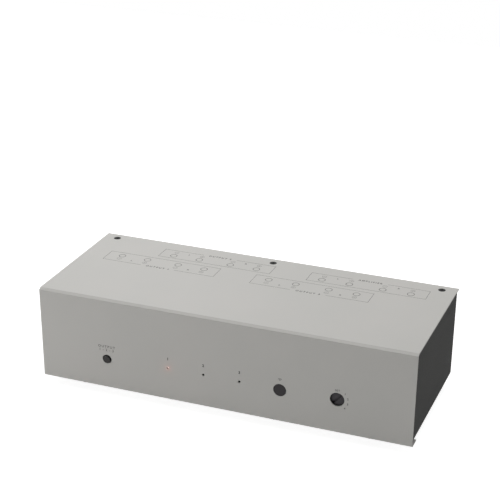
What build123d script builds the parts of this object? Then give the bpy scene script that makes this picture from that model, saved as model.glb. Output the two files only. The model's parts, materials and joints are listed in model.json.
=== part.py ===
from build123d import *
from math import cos, pi, sin
import os

# A loudspeaker line selector in a long low metal case.
# A pale bent cover makes the top, the front and a short return under the front.
# A dark tray closes the ends and the bottom, and a rear panel carries sixteen screw terminals.
# Millimetres. +X is to the right seen from the front, +Y to the back, +Z up.
# The origin is on the standing plane, under the middle of the whole outline.

# Case; cut_over is how far a cut runs past the face that it opens
case_width = 330.0
case_depth = 132.2
case_height = 83.0
cover_sheet = 1.0
band_back = 2.6
band_drop = 1.5
lip_bend = 1.4
lip_reach = 12.0
side_margin = 1.1
rear_margin = 1.1
standing_gap = 8.0
cut_over = 1.0

# Tray, rear panel and front bracket
tray_sheet = 1.2
tray_bend = 2.6
tray_flange = 9.0
rear_tab = 13.0
tab_foot_gap = 3.0
tab_head_gap = 6.0
rear_flange = 14.0
bracket_flange = 10.0
bracket_side_gap = 1.0

# Pan-head case screws
screw_head = 7.1
screw_head_height = 1.9
screw_shank = 3.9
screw_length = 7.0
screw_hole_gap = 0.2
screw_dome = 1.2
recess_width = 0.9
recess_span = 3.8
recess_depth = 1.0
lip_screw_inset_side = 37.0
lip_screw_inner_x = 46.0
tab_screw_rise = 12.0
tab_screw_drop = 20.0

# Countersunk screws of the top, level with it
flat_head = 6.2
flat_rim = 0.2
flat_shank = 2.9
flat_length = 7.0
top_screw_inset_side = 12.8
top_screw_inset = 8.2

# Feet
foot_diameter = 20.0
foot_edge = 1.5
foot_inset_front = 34.0
foot_inset_rear = 22.0
foot_inset_side = 26.0
foot_stem = 6.0
foot_stem_head = 9.0
foot_stem_head_height = 2.0

# Front controls, each by its place from the middle and above the underside of the front return
button_x = -103.5
button_z = 27.2
button_diameter = 6.7
button_edge = 0.6
button_gap = 0.7
control_clearance = 0.3
button_proud = 1.4
button_travel = 1.0
button_collar = 10.4
button_collar_height = 1.0
button_stem = 3.0
lamp_pitch = 32.0
lamp_middle_x = -15.0
lamp_z = 29.7
lamp_hole = 2.2
lamp_diameter = 3.0
lamp_length = 5.3
lamp_rim = 3.8
lamp_rim_height = 1.0
lamp_lead = 0.5
lamp_lead_pitch = 1.8
window_x = 52.3
window_z = 29.1
window_diameter = 11.0
window_gap = 0.1
window_rim = 15.0
window_rim_height = 1.2
dial_x = 101.2
dial_z = 30.5
dial_diameter = 11.6
dial_gap = 0.3
dial_recess = 1.7
dial_thickness = 3.0
dial_slot_width = 1.7
dial_slot_depth = 1.4
dial_slot_angle = 45.0
dial_shaft = 4.0
running_gap = 0.05

# Boards
board_sheet = 1.6
control_gap = 9.0
control_width = 240.0
control_height = 44.0
control_z = 37.0
spacer_length = 6.0
spacer_width = 5.5
spacer_hole = 3.0
spacer_inset = 5.0
middle_spacer_x = -20.0
board_screw_head = 5.5
board_screw_head_height = 2.0
board_screw_dome = 1.2
board_screw_shank = 2.9
board_screw_length = 6.0
switch_side = 7.0
switch_height = 5.5
switch_bore_depth = 4.5
code_switch_side = 13.0
code_switch_height = 4.0
receiver_width = 7.0
receiver_height = 9.0
receiver_thickness = 4.0
receiver_lens = 5.0
receiver_lens_bulge = 1.2
receiver_gap = 0.5
receiver_lead = 0.5
receiver_lead_pitch = 2.54
receiver_lead_drop = 5.0

# Terminals, in four groups of four, two groups to a row
# group_spread is the share of a row's spare length that lies between its two plates
post_pitch = 24.6
post_pair_step = 54.1
upper_row_z = 62.0
lower_row_z = 34.0
group_spread = 0.8289
plate_end_margin = 14.5
plate_width = 18.3
plate_thickness = 3.0
plate_corner = 2.0
plate_block_width = 13.0
plate_block_gap = 0.3
plate_block_proud = 0.5
plate_screw_inset = 4.3
post_collar = 12.4
post_collar_height = 2.0
stud_diameter = 6.0
stud_tail = 3.0
stud_tail_length = 3.2
stud_tip_gap = 0.6
wire_hole = 3.0
nut_flats = 10.0
nut_height = 3.0
terminal_gap = 6.0
seat_gap = 0.1
sleeve_flange = 11.6
sleeve_flange_height = 1.4
sleeve_diameter = 8.0
sleeve_length = 11.0
sleeve_wall_gap = 0.08
cap_diameter = 14.0
cap_end_wall = 2.4
cap_end_gap = 0.3
cap_flute = 1.0
cap_flutes = 12
cap_edge = 0.9

# Terminal board and relays
terminal_board_edge = 6.0
relay_count = 6
relay_inlet_gap = 2.4
relay_length = 29.0
relay_depth = 16.0
relay_height = 12.6
relay_corner = 0.8

# Mains inlet
inlet_side_gap = 10.9
inlet_plate_gap = 0.8
inlet_z = 34.0
inlet_flange_length = 50.0
inlet_flange_height = 22.6
inlet_flange_sheet = 2.6
inlet_body_width = 27.2
inlet_body_height = 19.8
inlet_body_depth = 19.0
inlet_cutout_gap = 0.2
inlet_recess_width = 24.2
inlet_recess_height = 16.4
inlet_recess_depth = 15.5
inlet_recess_corner = 4.0
inlet_screw_pitch = 40.0
pin_pitch = 7.0
pin_thickness = 2.0
pin_width = 4.0
pin_offset = 2.0
pin_length = 13.5
pin_tag = 7.0

# Power board and supply, whose parts are placed from the edges of the board
power_width = 112.0
power_side_gap = 11.9
power_bracket_gap = 10.1
power_relay_gap = 8.0
core_width = 48.0
core_height = 40.0
core_stack = 18.0
core_window_width = 8.0
core_window_height = 24.0
coil_overhang = 6.5
coil_gap = 0.2
core_inset_left = 32.0
core_inset_front = 19.0
capacitor_diameter = 13.0
capacitor_height = 21.0
capacitor_pitch = 16.0
capacitor_inset_right = 40.0
capacitor_inset_front = 11.0
capacitor_rim = 0.8

# Wiring
mains_wire = 2.4
mains_wire_bend = 0.8
mains_block_width = 20.0
mains_block_depth = 10.0
mains_block_height = 8.0
mains_block_inset = 11.3
ribbon_sheet = 1.0
ribbon_bend = 6.0
control_ribbon_width = 26.0
control_ribbon_gap = 7.0
control_ribbon_z = 51.0
control_ribbon_rear_z = 74.0
control_ribbon_climb = 24.0
supply_ribbon_width = 11.0
supply_ribbon_inset = 13.3
plug_height = 6.0
plug_thickness = 5.0
plug_margin = 2.0
bracket_slot_margin = 3.0

# Heights and depths that follow from the sizes
post_reach = (plate_thickness + post_collar_height + seat_gap + sleeve_flange_height
              + sleeve_length + cap_end_gap + cap_end_wall)
overall_depth = button_proud + case_depth - rear_margin + post_reach
front_y = button_proud - overall_depth / 2
cover_rear_y = front_y + case_depth
rear_y = cover_rear_y - rear_margin
panel_inner_y = rear_y - tray_sheet
lip_z = standing_gap
tray_z = lip_z + cover_sheet
floor_z = tray_z + tray_sheet
cover_z = lip_z + case_height
under_cover_z = cover_z - cover_sheet
tray_half = case_width / 2 - side_margin
cover_inner_y = front_y + cover_sheet
tray_front_y = front_y + max(cover_sheet, lip_bend) + seat_gap
control_y = cover_inner_y + control_gap
bracket_y = control_y + board_sheet + spacer_length
collar_y = rear_y + plate_thickness + post_collar_height
terminal_y = panel_inner_y - terminal_gap
terminal_front_y = terminal_y - board_sheet
power_z = floor_z + spacer_length
power_top_z = power_z + board_sheet
power_rear_y = terminal_front_y - relay_depth - power_relay_gap
power_front_y = bracket_y + bracket_flange + power_bracket_gap
core_y = power_front_y + core_inset_front
capacitor_y = power_front_y + capacitor_inset_front
mains_block_y = power_rear_y - mains_block_inset
supply_ribbon_y = power_rear_y - supply_ribbon_inset

# Places across that follow from the sizes
top_screw_x = case_width / 2 - top_screw_inset_side
lip_screw_x = case_width / 2 - lip_screw_inset_side
plate_length = post_pair_step + post_pitch + 2 * plate_end_margin
plate_block_length = plate_length - 2 * plate_screw_inset - screw_head
inlet_x = tray_half - inlet_side_gap - inlet_flange_length / 2
group_inner_x = inlet_x - inlet_flange_length / 2 - inlet_plate_gap - plate_length / 2
plates_touch_x = plate_length - group_inner_x
plate_at_tab_x = tray_half - rear_tab - plate_length / 2
group_outer_x = plates_touch_x + group_spread * (plate_at_tab_x - plates_touch_x)
relay_row_half = inlet_x - inlet_body_width / 2 - relay_inlet_gap
relay_pitch = (2 * relay_row_half - relay_length) / (relay_count - 1)
power_right = tray_half - power_side_gap
power_left = power_right - power_width
core_x = power_left + core_inset_left
capacitor_x = power_right - capacitor_inset_right
supply_ribbon_x = group_inner_x
control_ribbon_x = power_left - control_ribbon_gap - control_ribbon_width / 2

# Lamp places, left to right
lamp_places = [lamp_middle_x + step * lamp_pitch for step in (-1, 0, 1)]

# Terminal groups: middle across and height of the row
post_groups = [
    (-group_inner_x, upper_row_z),
    (group_outer_x, upper_row_z),
    (-group_outer_x, lower_row_z),
    (group_inner_x, lower_row_z),
]


def group_posts(middle_x):
    """Places across of the four posts of a group: two pairs."""
    return [
        middle_x + pair * post_pair_step / 2 + side * post_pitch / 2
        for pair in (-1, 1)
        for side in (-1, 1)
    ]


post_places = [(x, row_z) for middle_x, row_z in post_groups for x in group_posts(middle_x)]


def block(x, y, z):
    """Box between a low and a high limit on each axis."""
    limits = (x, y, z)
    size = [high - low for low, high in limits]
    middle = [(high + low) / 2 for low, high in limits]
    return Pos(*middle) * Box(*size)


def rod_y(x, z, y_from, y_to, diameter):
    """Cylinder along Y."""
    return Pos(x, (y_from + y_to) / 2, z) * Rot(90, 0, 0) * Cylinder(diameter / 2, y_to - y_from)


def rod_z(x, y, z_from, z_to, diameter):
    """Cylinder along Z."""
    return Pos(x, y, (z_from + z_to) / 2) * Cylinder(diameter / 2, z_to - z_from)


def around(middle, width):
    """Low and high limit of a width about a middle."""
    return (middle - width / 2, middle + width / 2)


def group(shapes):
    """Separate solids kept together as one group."""
    return Compound([solid for shape in shapes for solid in shape.solids()])


def sheet_section(points, thickness, bends):
    """Closed section of a bent sheet, to the left of a line through the points.

    bends gives the outer radius at corners, by the corner's place in the list of points.
    """
    line = Polyline(*points).wires()[0]
    for corner, radius in bends.items():
        vertex = line.vertices().sort_by_distance(points[corner])[0]
        line = line.fillet_2d(radius, [vertex])
    return Face(line.offset_2d(thickness, Kind.INTERSECTION, side=Side.LEFT, closed=True))


def along_x(section, x_from, x_to):
    """Section drawn in Y and Z, extruded between two places along X."""
    return extrude(Plane.YZ.offset(x_from) * section, amount=x_to - x_from)


def along_y(section, y_from, y_to):
    """Section drawn in X and Z, extruded between two places along Y."""
    return extrude(Plane.XZ.offset(-y_to) * section, amount=y_to - y_from)


def cross_recess(face_z, head):
    """Two crossed slots that go down from a screw's face, in proportion to its head."""
    reach = head / screw_head
    slot = Box(recess_span * reach, recess_width * reach, 2 * recess_depth * reach)
    return Pos(0, 0, face_z) * (slot + Rot(0, 0, 90) * slot)


def pan_screw(head, head_height, dome_radius, shank, length):
    """Screw standing on its head plane: head above z = 0, shank below, with a cross recess."""
    dome = Cylinder(head / 2, head_height, align=(Align.CENTER, Align.CENTER, Align.MIN))
    dome = fillet(dome.edges().group_by(Axis.Z)[-1], dome_radius)
    screw = dome + Cylinder(shank / 2, length, align=(Align.CENTER, Align.CENTER, Align.MAX))
    return screw - cross_recess(head_height, head)


def case_screw():
    """One black pan-head screw of the case."""
    return pan_screw(screw_head, screw_head_height, screw_dome, screw_shank, screw_length)


def countersunk(margin, length, over):
    """Form of a countersunk screw with its face at z = 0, grown by a margin, and a disc over its face."""
    downward = (Align.CENTER, Align.CENTER, Align.MAX)
    upward = (Align.CENTER, Align.CENTER, Align.MIN)
    head_radius = flat_head / 2 + margin
    shank_radius = flat_shank / 2 + margin
    taper = head_radius - shank_radius
    form = Cylinder(head_radius, flat_rim, align=downward)
    form += Pos(0, 0, -flat_rim - taper) * Cone(shank_radius, head_radius, taper, align=upward)
    form += Cylinder(shank_radius, length, align=downward)
    if over:
        form += Cylinder(head_radius, over, align=upward)
    return form


def flat_screw():
    """One black countersunk screw of the top."""
    return countersunk(0, flat_length, 0) - cross_recess(0, flat_head)


# Where the case screws go: place of the head plane and the way the head points
top_screw_places = [(x, cover_rear_y - top_screw_inset) for x in (-top_screw_x, 0, top_screw_x)]
lip_screw_y = front_y + cover_sheet + (lip_reach - cover_sheet) / 2
lip_screw_places = [
    (side * distance, lip_screw_y) for side in (-1, 1) for distance in (lip_screw_inner_x, lip_screw_x)
]
tab_screw_x = tray_half - rear_tab / 2
tab_screw_zs = (tray_z + tab_screw_rise, under_cover_z - tab_screw_drop)
tab_screw_places = [(side * tab_screw_x, z) for side in (-1, 1) for z in tab_screw_zs]
plate_screw_places = [
    (middle_x + side * (plate_length / 2 - plate_screw_inset), row_z)
    for middle_x, row_z in post_groups
    for side in (-1, 1)
]
inlet_screw_places = [(inlet_x + side * inlet_screw_pitch / 2, inlet_z) for side in (-1, 1)]
shank_hole = screw_shank + screw_hole_gap


def cover():
    """Top, front and lower return, bent from one sheet, with a narrow flat band along the top front."""
    points = [
        (cover_rear_y, cover_z),
        (front_y + band_back, cover_z),
        (front_y, cover_z - band_drop),
        (front_y, lip_z),
        (front_y + lip_reach, lip_z),
    ]
    section = sheet_section(points, cover_sheet, {3: lip_bend})
    shell = along_x(section, -case_width / 2, case_width / 2)
    for x, y in top_screw_places:
        shell -= Pos(x, y, cover_z) * countersunk(screw_hole_gap / 2, flat_length, cut_over)
    for x, y in lip_screw_places:
        shell -= rod_z(x, y, lip_z - cut_over, tray_z + cut_over, shank_hole)
    holes = [(button_x, button_z, button_diameter + 2 * button_gap)]
    holes += [(x, lamp_z, lamp_hole) for x in lamp_places]
    holes += [(window_x, window_z, window_diameter + 2 * window_gap)]
    holes += [(dial_x, dial_z, dial_diameter + 2 * dial_gap)]
    for x, height, diameter in holes:
        shell -= rod_y(x, lip_z + height, front_y - cut_over, cover_inner_y + cut_over, diameter)
    return shell


def chassis():
    """Tray with turned-in upper flanges and tabs at the rear ends of its side walls."""
    points = [
        (-tray_half + tray_flange, under_cover_z),
        (-tray_half, under_cover_z),
        (-tray_half, tray_z),
        (tray_half, tray_z),
        (tray_half, under_cover_z),
        (tray_half - tray_flange, under_cover_z),
    ]
    section = sheet_section(points, tray_sheet, {corner: tray_bend for corner in (1, 2, 3, 4)})
    tray = along_y(section, tray_front_y, panel_inner_y)
    band_corner = Polyline(
        (cover_inner_y, under_cover_z - band_drop),
        (cover_inner_y + band_back, under_cover_z),
        (cover_inner_y, under_cover_z),
        close=True,
    )
    tray -= along_x(make_face(band_corner), -case_width / 2, case_width / 2)
    for side in (-1, 1):
        tab_x = sorted((side * (tray_half - tray_sheet / 2), side * (tray_half - rear_tab)))
        tab_z = (floor_z + tab_foot_gap, under_cover_z - tray_bend - tab_head_gap)
        tray += block(tab_x, (panel_inner_y - tray_sheet, panel_inner_y), tab_z)
        notch_x = sorted((side * (tray_half - tray_flange - cut_over), side * (tray_half - tray_bend)))
        notch_y = (rear_y - rear_flange - seat_gap, rear_y)
        tray -= block(notch_x, notch_y, (under_cover_z - tray_sheet - cut_over, under_cover_z + cut_over))
    for x, y in lip_screw_places:
        tray -= rod_z(x, y, tray_z - cut_over, floor_z + cut_over, shank_hole)
    for x, z in tab_screw_places:
        tray -= rod_y(x, z, panel_inner_y - tray_sheet - cut_over, rear_y, shank_hole)
    for x, y in foot_places:
        tray -= rod_z(x, y, tray_z - cut_over, floor_z + cut_over, foot_stem + 2 * running_gap)
    return tray


foot_places = [
    (side * (case_width / 2 - foot_inset_side), y)
    for side in (-1, 1)
    for y in (front_y + foot_inset_front, cover_rear_y - foot_inset_rear)
]


def feet():
    """Four soft feet, each with a stem that snaps through the tray."""
    shapes = []
    for x, y in foot_places:
        pad = rod_z(x, y, 0, tray_z, foot_diameter)
        pad = fillet(pad.edges().group_by(Axis.Z)[0], foot_edge)
        stem = rod_z(x, y, tray_z, floor_z + foot_stem_head_height, foot_stem)
        head = rod_z(x, y, floor_z, floor_z + foot_stem_head_height, foot_stem_head)
        shapes.append(pad + stem + head)
    return group(shapes)


def rear_panel():
    """Rear panel with a flange turned forward under the cover for the top screws."""
    points = [(rear_y, tray_z), (rear_y, under_cover_z), (rear_y - rear_flange, under_cover_z)]
    section = sheet_section(points, tray_sheet, {1: tray_bend})
    panel = along_x(section, -tray_half, tray_half)
    panel = fillet(panel.edges().filter_by(Axis.Y).group_by(Axis.Z)[0], tray_bend)
    for side in (-1, 1):
        ends = sorted((side * (tray_half + cut_over), side * (tray_half - tray_bend - seat_gap)))
        panel -= block(ends, (rear_y - rear_flange - cut_over, panel_inner_y), (tray_z - cut_over, cover_z))
    for x, y in top_screw_places:
        panel -= Pos(x, y, cover_z) * countersunk(screw_hole_gap / 2, flat_length, 0)
    for x, z in tab_screw_places + plate_screw_places + inlet_screw_places:
        panel -= rod_y(x, z, panel_inner_y - cut_over, rear_y + cut_over, shank_hole)
    for middle_x, row_z in post_groups:
        slot_x = around(middle_x, plate_block_length + 2 * plate_block_gap)
        slot_z = around(row_z, plate_block_width + 2 * plate_block_gap)
        panel -= block(slot_x, (panel_inner_y - cut_over, rear_y + cut_over), slot_z)
    cut_x = around(inlet_x, inlet_body_width + 2 * inlet_cutout_gap)
    cut_z = around(inlet_z, inlet_body_height + 2 * inlet_cutout_gap)
    return panel - block(cut_x, (panel_inner_y - cut_over, rear_y + cut_over), cut_z)


bracket_half = tray_half - tray_flange - bracket_side_gap
control_ribbon_top = lip_z + control_ribbon_z


def front_bracket():
    """Inner front wall, with a foot on the tray floor and a flange that props the cover."""
    points = [
        (bracket_y + bracket_flange, under_cover_z),
        (bracket_y, under_cover_z),
        (bracket_y, floor_z),
        (bracket_y + bracket_flange, floor_z),
    ]
    section = sheet_section(points, tray_sheet, {1: tray_bend, 2: tray_bend})
    wall = along_x(section, -bracket_half, bracket_half)
    opening_x = around(control_ribbon_x, control_ribbon_width + 2 * plug_margin + 2 * bracket_slot_margin)
    opening_z = around(control_ribbon_top, plug_thickness + 2 * bracket_slot_margin)
    wall -= block(opening_x, (bracket_y - cut_over, bracket_y + tray_sheet + cut_over), opening_z)
    for x, z in control_spacer_places:
        wall -= rod_y(x, z, bracket_y - cut_over, bracket_y + tray_sheet + cut_over, spacer_hole)
    return wall


control_spacer_places = [
    (x, z)
    for x in (-control_width / 2 + spacer_inset, middle_spacer_x, control_width / 2 - spacer_inset)
    for z in (lip_z + control_z - control_height / 2 + spacer_inset,
              lip_z + control_z + control_height / 2 - spacer_inset)
]
power_spacer_places = [
    (x, y)
    for x in (power_left + spacer_inset, power_right - spacer_inset)
    for y in (power_front_y + spacer_inset, power_rear_y - spacer_inset)
]


def hex_bar(length, flats, hole):
    """Hexagonal bar standing on z = 0, with a round hole along it."""
    bar = extrude(RegularPolygon(flats / 2, 6, major_radius=False), amount=length)
    return bar - Cylinder(hole / 2, 3 * length)


def board_spacers():
    """Hex spacers of the control board and the power board."""
    upright = hex_bar(spacer_length, spacer_width, spacer_hole)
    lying = Rot(90, 0, 0) * upright
    shapes = [Pos(x, bracket_y, z) * lying for x, z in control_spacer_places]
    shapes += [Pos(x, y, floor_z) * upright for x, y in power_spacer_places]
    return group(shapes)


def board_screws():
    """Screws that hold the control board and the power board to their spacers."""
    screw = pan_screw(board_screw_head, board_screw_head_height, board_screw_dome,
                      board_screw_shank, board_screw_length)
    facing_front = Rot(90, 0, 0) * screw
    shapes = [Pos(x, control_y, z) * facing_front for x, z in control_spacer_places]
    shapes += [Pos(x, y, power_top_z) * screw for x, y in power_spacer_places]
    return group(shapes)


def case_screws():
    """All the black screws of the case: countersunk in the top, pan-head elsewhere."""
    screw = case_screw()
    up = [Pos(x, y, cover_z) * flat_screw() for x, y in top_screw_places]
    down = [Pos(x, y, lip_z) * Rot(180, 0, 0) * screw for x, y in lip_screw_places]
    to_rear = Rot(-90, 0, 0) * screw
    rear = [Pos(x, rear_y, z) * to_rear for x, z in tab_screw_places]
    rear += [Pos(x, rear_y + plate_thickness, z) * to_rear for x, z in plate_screw_places]
    rear += [Pos(x, rear_y + inlet_flange_sheet, z) * to_rear for x, z in inlet_screw_places]
    return group(up + down + rear)


def push_button():
    """Button with a collar behind the cover and a stem that runs in the switch."""
    z = lip_z + button_z
    collar_front = cover_inner_y + control_clearance
    collar_rear = collar_front + button_collar_height
    key = rod_y(button_x, z, front_y - button_proud, collar_rear, button_diameter)
    key = fillet(key.edges().filter_by(GeomType.CIRCLE).sort_by(Axis.Y)[0], button_edge)
    key += rod_y(button_x, z, collar_front, collar_rear, button_collar)
    stem_end = control_y - switch_height + switch_bore_depth - button_travel - control_clearance
    return key + rod_y(button_x, z, collar_front, stem_end, button_stem)


def button_switch():
    """Push switch on the control board, with the bore that the button's stem runs in."""
    z = lip_z + button_z
    switch_front = control_y - switch_height
    body = block(around(button_x, switch_side), (switch_front, control_y), around(z, switch_side))
    bore_end = switch_front + switch_bore_depth
    return body - rod_y(button_x, z, switch_front - cut_over, bore_end, button_stem + 2 * running_gap)


def lamp(x):
    """Round-nosed lamp with a rim and two leads, its nose behind its hole in the cover."""
    z = lip_z + lamp_z
    nose_y = cover_inner_y + seat_gap
    base_y = nose_y + lamp_length
    radius = lamp_diameter / 2
    body = rod_y(x, z, nose_y + radius, base_y, lamp_diameter)
    body += Pos(x, nose_y + radius, z) * Sphere(radius)
    body += rod_y(x, z, base_y - lamp_rim_height, base_y, lamp_rim)
    for side in (-1, 1):
        lead_x = around(x + side * lamp_lead_pitch / 2, lamp_lead)
        body += block(lead_x, (base_y, control_y), around(z, lamp_lead))
    return body


def status_lamps():
    """Three lamps in a row."""
    return group([lamp(x) for x in lamp_places])


def remote_window():
    """Round window, flush with the front, with a rim behind the cover."""
    z = lip_z + window_z
    pane = rod_y(window_x, z, front_y, cover_inner_y + window_rim_height, window_diameter)
    return pane + rod_y(window_x, z, cover_inner_y, cover_inner_y + window_rim_height, window_rim)


def remote_receiver():
    """Receiver block on the control board, behind the window, with its round lens and leads."""
    z = lip_z + window_z
    front = control_y - receiver_thickness
    back = control_y - receiver_gap
    body = block(around(window_x, receiver_width), (front, back), around(z, receiver_height))
    lens_y = (front - receiver_lens_bulge, front + cut_over)
    lens = Pos(window_x, front, z) * Sphere(receiver_lens / 2)
    body += lens & block(around(window_x, receiver_lens), lens_y, around(z, receiver_lens))
    for step in (-1, 0, 1):
        lead_x = around(window_x + step * receiver_lead_pitch, receiver_lead)
        lead_z = (z - receiver_height / 2 - receiver_lead_drop, z - receiver_height / 2)
        body += block(lead_x, (back - receiver_lead, back), lead_z)
        body += block(lead_x, (back - receiver_lead, control_y), (lead_z[0], lead_z[0] + receiver_lead))
    return body


def code_dial():
    """Recessed dial with a screwdriver slot, turned to its first place, and its shaft."""
    z = lip_z + dial_z
    face_y = front_y + dial_recess
    disc = rod_y(dial_x, z, face_y, face_y + dial_thickness, dial_diameter)
    slot = Box(dial_diameter + 2 * cut_over, 2 * dial_slot_depth, dial_slot_width)
    disc -= Pos(dial_x, face_y, z) * Rot(0, -dial_slot_angle, 0) * slot
    shaft_end = control_y - control_clearance
    return disc + rod_y(dial_x, z, face_y + dial_thickness, shaft_end, dial_shaft)


def dial_switch():
    """Rotary switch on the control board, with the bore that the dial's shaft turns in."""
    z = lip_z + dial_z
    body_y = (control_y - code_switch_height, control_y)
    body = block(around(dial_x, code_switch_side), body_y, around(z, code_switch_side))
    return body - rod_y(dial_x, z, body_y[0] - cut_over, body_y[1] + cut_over, dial_shaft + 2 * running_gap)


def control_board():
    """Upright board behind the front."""
    board = block(around(0, control_width), (control_y, control_y + board_sheet),
                  around(lip_z + control_z, control_height))
    for x, z in control_spacer_places:
        board -= rod_y(x, z, control_y - cut_over, control_y + board_sheet + cut_over, spacer_hole)
    return board


def terminal_board():
    """Upright board behind the rear panel, carried by the studs, notched for the mains inlet."""
    half = group_outer_x + plate_length / 2
    low = lower_row_z - plate_width / 2 - terminal_board_edge
    high = upper_row_z + plate_width / 2 + terminal_board_edge
    board = block((-half, half), (terminal_front_y, terminal_y), (low, high))
    cut_y = (terminal_front_y - cut_over, terminal_y + cut_over)
    notch_x = (inlet_x - inlet_body_width / 2 - terminal_board_edge, half + cut_over)
    notch_z = (low - cut_over, inlet_z + inlet_body_height / 2 + terminal_board_edge)
    board -= block(notch_x, cut_y, notch_z)
    for x, z in post_places:
        board -= rod_y(x, z, *cut_y, stud_tail + 2 * running_gap)
    return board


def relays():
    """Row of sealed relays on the terminal board, between the two rows of studs."""
    middle_z = (upper_row_z + lower_row_z) / 2
    shapes = []
    for step in range(relay_count):
        x = (step - (relay_count - 1) / 2) * relay_pitch
        can = block(around(x, relay_length), (terminal_front_y - relay_depth, terminal_front_y),
                    around(middle_z, relay_height))
        shapes.append(fillet(can.edges().filter_by(Axis.Y), relay_corner))
    return group(shapes)


def terminal_plates():
    """Moulded plates on the rear panel, one for each group, with a collar round each stud."""
    shapes = []
    for middle_x, row_z in post_groups:
        plate = block(around(middle_x, plate_length), (rear_y, rear_y + plate_thickness),
                      around(row_z, plate_width))
        plate = fillet(plate.edges().filter_by(Axis.Y), plate_corner)
        plate += block(around(middle_x, plate_block_length), (panel_inner_y - plate_block_proud, rear_y),
                       around(row_z, plate_block_width))
        for x in group_posts(middle_x):
            plate += rod_y(x, row_z, rear_y + plate_thickness, collar_y, post_collar)
            plate -= rod_y(x, row_z, terminal_y, collar_y + cut_over, stud_diameter + 2 * running_gap)
        for side in (-1, 1):
            screw_x = middle_x + side * (plate_length / 2 - plate_screw_inset)
            plate -= rod_y(screw_x, row_z, rear_y - cut_over, collar_y, shank_hole)
        shapes.append(plate)
    return group(shapes)


sleeve_y = collar_y + seat_gap
barrel_end_y = sleeve_y + sleeve_flange_height + sleeve_length


def post_studs():
    """Threaded studs, with a cross hole for bare wire and a thin tail soldered to the board."""
    shapes = []
    for x, z in post_places:
        stud = rod_y(x, z, terminal_y, barrel_end_y - stud_tip_gap, stud_diameter)
        stud += rod_y(x, z, terminal_y - stud_tail_length, terminal_y, stud_tail)
        stud -= rod_z(x, collar_y + wire_hole / 2, z - stud_diameter, z + stud_diameter, wire_hole)
        shapes.append(stud)
    return group(shapes)


def post_nuts():
    """Hex nuts that clamp the studs to the terminal plates."""
    nut = Rot(90, 0, 0) * hex_bar(nut_height, nut_flats, stud_diameter + 2 * running_gap)
    nut_y = panel_inner_y - plate_block_proud
    return group([Pos(x, nut_y, z) * nut for x, z in post_places])


def post_sleeve(x, z):
    """Metal sleeve of a cap: a clamping flange and a barrel that runs on the stud."""
    sleeve = rod_y(x, z, sleeve_y, sleeve_y + sleeve_flange_height, sleeve_flange)
    sleeve += rod_y(x, z, sleeve_y, barrel_end_y, sleeve_diameter)
    bore = stud_diameter + 2 * sleeve_wall_gap
    return sleeve - rod_y(x, z, sleeve_y - cut_over, barrel_end_y + cut_over, bore)


def post_cap(x, z):
    """Fluted grip with a closed end, over the sleeve."""
    grip_y = sleeve_y + sleeve_flange_height + seat_gap
    bore_end_y = barrel_end_y + cap_end_gap
    end_y = bore_end_y + cap_end_wall
    grip = rod_y(x, z, grip_y, end_y, cap_diameter)
    grip = fillet(grip.edges().filter_by(GeomType.CIRCLE).sort_by(Axis.Y)[-1], cap_edge)
    for step in range(cap_flutes):
        angle = 2 * pi * step / cap_flutes
        reach = cap_diameter / 2 + cap_flute / 2
        grip -= rod_y(x + reach * cos(angle), z + reach * sin(angle),
                      grip_y + cap_end_wall, end_y + cut_over, 2 * cap_flute)
    return grip - rod_y(x, z, grip_y - cut_over, bore_end_y, sleeve_diameter + 2 * sleeve_wall_gap)


def mains_inlet():
    """Inlet for a loose mains lead: a flange, a body through the panel and a six-sided recess."""
    body = block(around(inlet_x, inlet_flange_length), (rear_y, rear_y + inlet_flange_sheet),
                 around(inlet_z, inlet_flange_height))
    body = fillet(body.edges().filter_by(Axis.Y), plate_corner)
    body += block(around(inlet_x, inlet_body_width), (rear_y - inlet_body_depth, rear_y + plate_thickness),
                  around(inlet_z, inlet_body_height))
    mouth_y = rear_y + plate_thickness
    recess = block(around(inlet_x, inlet_recess_width), (mouth_y - inlet_recess_depth, mouth_y + cut_over),
                   around(inlet_z, inlet_recess_height))
    upper_edges = recess.edges().filter_by(Axis.Y).group_by(Axis.Z)[-1]
    body -= chamfer(upper_edges, inlet_recess_corner)
    for x, z in pin_places:
        body -= pin_blade(x, z, running_gap)
    for x, z in inlet_screw_places:
        body -= rod_y(x, z, rear_y - cut_over, rear_y + inlet_flange_sheet + cut_over, shank_hole)
    return body


pin_places = [
    (inlet_x - pin_pitch, inlet_z - pin_offset),
    (inlet_x, inlet_z + pin_offset),
    (inlet_x + pin_pitch, inlet_z - pin_offset),
]
pin_tip_y = rear_y + plate_thickness - inlet_recess_depth + pin_length
tag_end_y = rear_y - inlet_body_depth - pin_tag


def pin_blade(x, z, margin):
    """Flat blade of the inlet, from its tip in the recess to its tag behind the body."""
    return block(around(x, pin_thickness + 2 * margin), (tag_end_y, pin_tip_y),
                 around(z, pin_width + 2 * margin))


def inlet_pins():
    """Three blades, which go through the inlet's floor and end in tags."""
    return group([pin_blade(x, z, 0) for x, z in pin_places])


def power_board():
    """Level board of the supply, on spacers over the tray floor."""
    board = block((power_left, power_right), (power_front_y, power_rear_y), (power_z, power_top_z))
    for x, y in power_spacer_places:
        board -= rod_z(x, y, power_z - cut_over, power_top_z + cut_over, spacer_hole)
    return board


def transformer_core():
    """Laminated core with two windows, standing on the power board."""
    low = power_top_z
    core = block(around(core_x, core_width), around(core_y, core_stack), (low, low + core_height))
    limb = core_width / 3
    for side in (-1, 1):
        window_middle = core_x + side * (limb / 2 + core_window_width / 2)
        core -= block(around(window_middle, core_window_width), around(core_y, core_stack + 2 * cut_over),
                      around(low + core_height / 2, core_window_height))
    return core


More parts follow.
